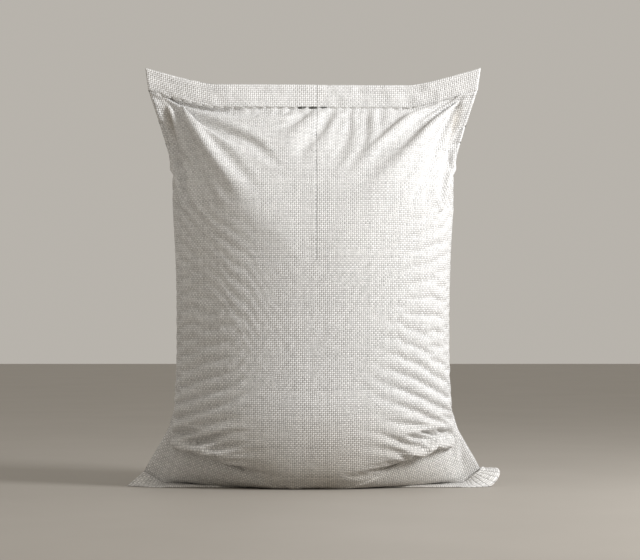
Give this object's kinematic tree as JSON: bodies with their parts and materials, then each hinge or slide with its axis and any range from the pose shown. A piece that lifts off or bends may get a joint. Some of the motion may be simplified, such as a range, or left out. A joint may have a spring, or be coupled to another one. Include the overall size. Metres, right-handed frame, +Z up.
{
  "type": "cement sack",
  "caption": "Full woven plastic sack of cement, standing on its sewn base, with a folded top hem and ears at the corners.",
  "frame": {"origin": "centre of the base's bounding box, on the floor", "axes": "+Z up, +X along the top and base seams to the right of the front, and the front faces -Y"},
  "size_m": [0.556, 0.227, 0.615],
  "materials": {
    "woven_cloth": "satin woven plastic tape",
    "sewing_thread": "matte twisted thread"
  },
  "bodies": {
    "root": {"woven_sack": "woven_cloth", "top_seam_thread": "sewing_thread", "base_seam_thread_left": "sewing_thread", "base_seam_thread_right": "sewing_thread"}
  },
  "joints": []
}
